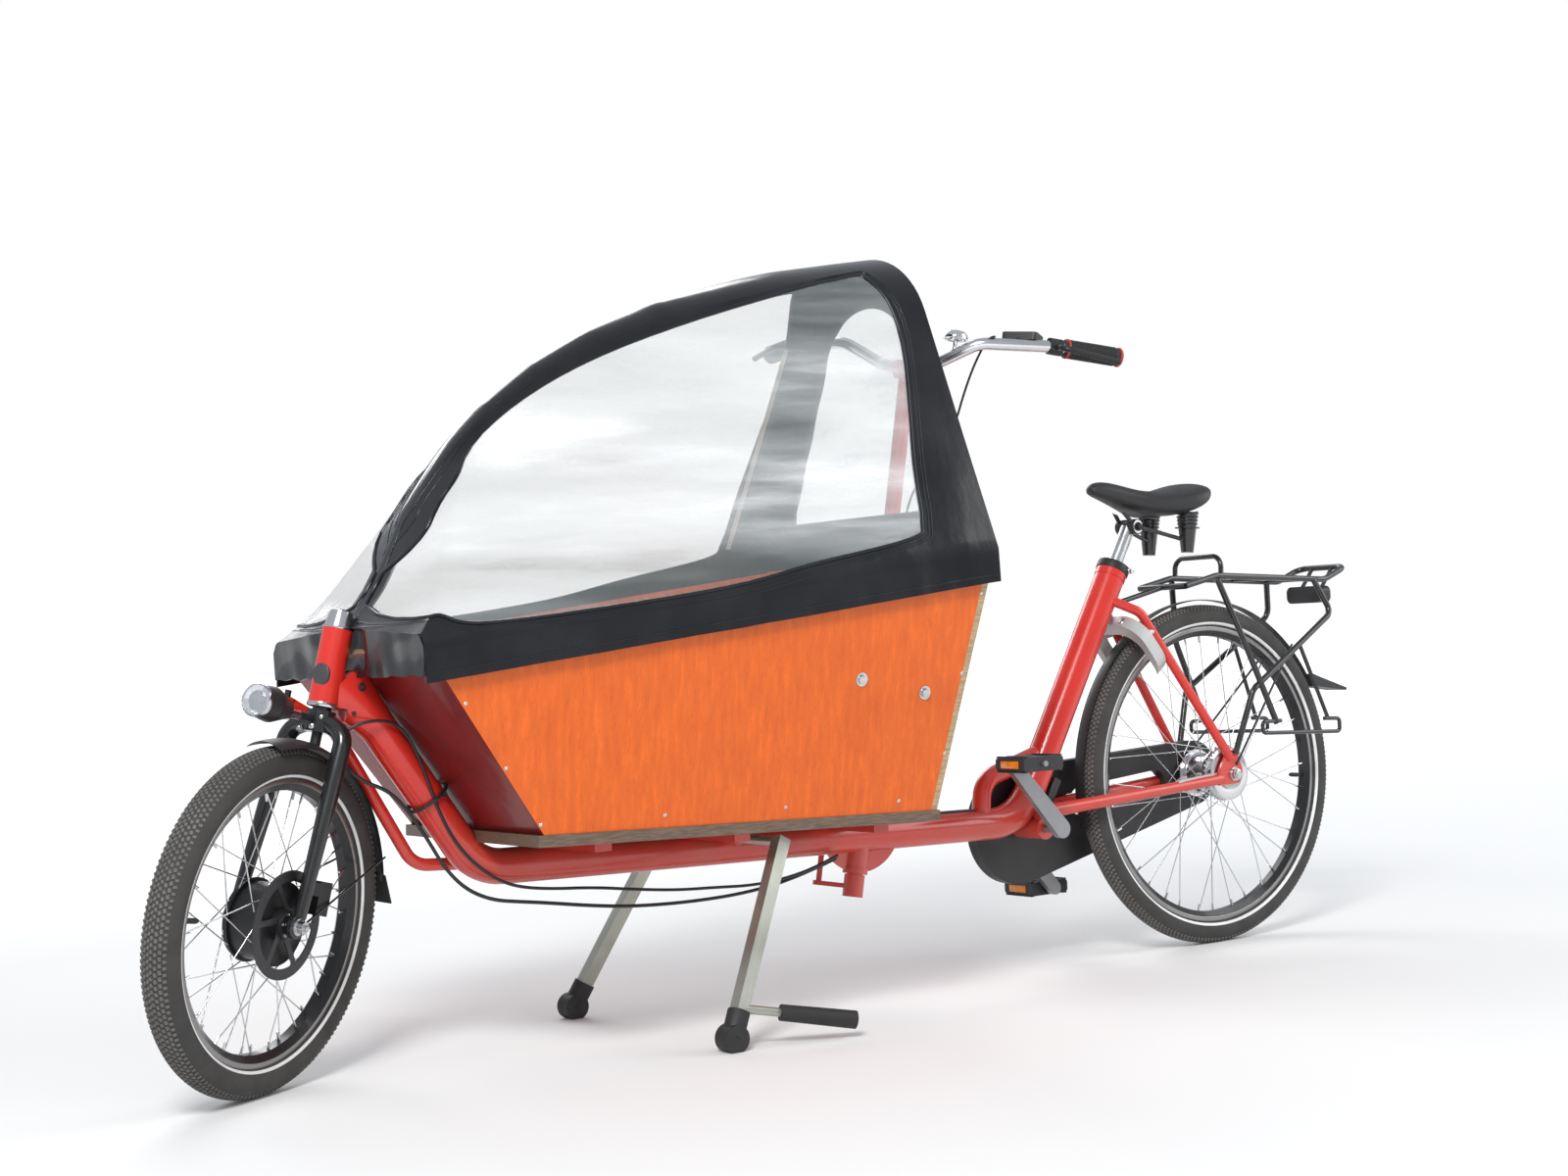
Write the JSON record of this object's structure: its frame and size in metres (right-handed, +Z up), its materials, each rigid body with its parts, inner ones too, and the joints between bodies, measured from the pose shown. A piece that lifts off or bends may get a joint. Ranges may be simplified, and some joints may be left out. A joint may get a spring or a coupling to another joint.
{
  "type": "electric cargo bike",
  "caption": "Long two-wheeled electric cargo bike with a plywood box ahead of the rider, a clear-windowed rain hood, rod steering, hub motor, enclosed chain and a wide two-legged stand.",
  "frame": {"origin": "on the floor under the middle of the overall box", "axes": "+X towards the rear wheel, +Y to the rider's right, +Z up from the floor"},
  "size_m": [2.5764, 0.7014, 1.29],
  "materials": {
    "red_paint": "gloss",
    "black_paint": "gloss",
    "silver_paint": "satin",
    "polished_alloy": "polished",
    "grey_alloy": "satin",
    "black_alloy": "satin",
    "dark_steel": "satin",
    "steel": "brushed",
    "zinc_steel": "zinc plated",
    "chrome_plate": "mirror",
    "black_plastic": "matte",
    "gloss_black": "gloss",
    "clear_lens": "clear",
    "clear_sheet": "clear",
    "black_cloth": "coated cloth",
    "black_leather": "matte",
    "grip_rubber": "matte",
    "tyre_rubber": "matte",
    "orange_ply": "stained and sealed",
    "dark_red_ply": "painted",
    "brown_ply": "sealed"
  },
  "bodies": {
    "frame": {"main_frame": "red_paint", "cross_members": "red_paint", "headset_cap": "polished_alloy", "rear_stays": "red_paint", "rear_mudguard": "black_plastic", "chain_case": "black_plastic", "rear_brake": "grey_alloy", "rear_axle": "steel", "ring_lock": "silver_paint", "rear_carrier": "black_paint", "rear_light": "black_plastic", "control_box": "black_plastic", "seat_post": "polished_alloy", "saddle": "black_leather", "saddle_springs": "black_paint", "box_sides": "orange_ply", "box_front": "dark_red_ply", "box_rear": "orange_ply", "box_floor": "brown_ply", "bench": "brown_ply", "rain_hood": "black_cloth", "hood_window_left": "clear_sheet", "hood_window_right": "clear_sheet", "hood_window_rear": "clear_sheet"},
    "front_fork": {"fork": "black_paint", "front_axle": "steel", "front_mudguard": "black_plastic", "headlamp": "black_plastic", "headlamp_lens": "clear_lens", "front_caliper": "dark_steel"},
    "front_wheel": {"front_tyre": "tyre_rubber", "front_rim": "black_alloy", "front_spokes": "steel", "front_motor": "black_alloy", "brake_disc": "dark_steel"},
    "rear_wheel": {"rear_tyre": "tyre_rubber", "rear_rim": "black_alloy", "rear_spokes": "steel", "rear_hub": "polished_alloy"},
    "handlebar_unit": {"steering_column": "red_paint", "handlebar": "polished_alloy", "grips": "grip_rubber", "brake_levers": "black_alloy", "display": "gloss_black", "bell": "chrome_plate"},
    "steering_rod": {"steering_rod": "red_paint"},
    "crankset": {"crankset": "grey_alloy"},
    "pedal_left": {"pedal_left": "black_plastic"},
    "pedal_right": {"pedal_right": "black_plastic"},
    "stand": {"stand": "zinc_steel", "stand_rubbers": "grip_rubber"}
  },
  "joints": [
    {"name": "fork_steer", "type": "hinge", "parent": "frame", "child": "front_fork", "pos_m": [-0.93498, -0.02643, 0.62131], "axis": [0.2588, 0, 0.9659], "range_deg": [-69.4, 6.6]},
    {"name": "column_turn", "type": "hinge", "parent": "frame", "child": "handlebar_unit", "pos_m": [0.04251, -0.02643, 0.29353], "axis": [0.1908, 0, 0.9816], "range_deg": [-69.9, 7.1]},
    {"name": "rod_swing", "type": "hinge", "parent": "handlebar_unit", "child": "steering_rod", "pos_m": [0.00112, 0.02991, 0.26083], "axis": [0.1908, 0, 0.9816], "range_deg": [-7.1, 69.9]},
    {"name": "front_wheel_spin", "type": "hinge", "parent": "front_fork", "child": "front_wheel", "pos_m": [-1.06209, -0.04362, 0.25575], "axis": [0.5033, -0.8536, -0.1348], "continuous": true},
    {"name": "rear_wheel_spin", "type": "hinge", "parent": "frame", "child": "rear_wheel", "pos_m": [0.90024, -0.02643, 0.328], "axis": [0, -1, 0], "continuous": true},
    {"name": "crank_spin", "type": "hinge", "parent": "frame", "child": "crankset", "pos_m": [0.44224, -0.02643, 0.262], "axis": [0, -1, 0], "continuous": true},
    {"name": "pedal_left_spin", "type": "hinge", "parent": "crankset", "child": "pedal_left", "pos_m": [0.33004, -0.15343, 0.38971], "axis": [0, -1, 0], "continuous": true},
    {"name": "pedal_right_spin", "type": "hinge", "parent": "crankset", "child": "pedal_right", "pos_m": [0.55444, 0.10057, 0.13428], "axis": [0, -1, 0], "continuous": true},
    {"name": "stand_fold", "type": "hinge", "parent": "frame", "child": "stand", "pos_m": [-0.25176, -0.02643, 0.306], "axis": [0, -1, 0], "range_deg": [0, 100]}
  ],
  "couplings": [
    {"joint": "column_turn", "follows": "fork_steer", "ratio": 1},
    {"joint": "rod_swing", "follows": "fork_steer", "ratio": -1}
  ]
}
